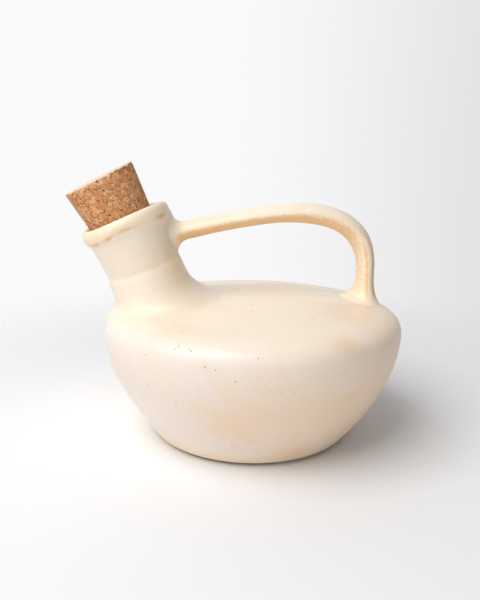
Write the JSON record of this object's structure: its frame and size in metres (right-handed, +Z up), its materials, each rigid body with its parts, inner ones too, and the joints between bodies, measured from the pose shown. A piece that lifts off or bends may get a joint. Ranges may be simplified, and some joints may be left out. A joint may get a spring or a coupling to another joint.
{
  "type": "olive oil pot",
  "caption": "Squat glazed ceramic pot for olive oil with a leaning flared neck, an arched strap handle from lip to shoulder and a tapered cork that lifts out.",
  "frame": {"origin": "middle of the flat base, on the surface the pot stands on", "axes": "+Z up the body's axis, +X from the neck towards the handle's foot, so the neck leans towards -X in the plane Y = 0"},
  "size_m": [0.1872, 0.17, 0.1544],
  "materials": {
    "ivory_glaze": "satin",
    "cream_glaze": "satin",
    "cork": "matte"
  },
  "bodies": {
    "pot": {"bowl": "ivory_glaze", "shoulder_dome": "ivory_glaze", "neck_collar": "cream_glaze", "neck_mouth": "cream_glaze", "handle": "cream_glaze"},
    "cork": {"cork_stopper": "cork"}
  },
  "joints": [
    {"name": "cork_lift", "type": "slide", "parent": "pot", "child": "cork", "axis": [-0.454, 0, 0.891], "range_m": [0, 0.045]}
  ]
}
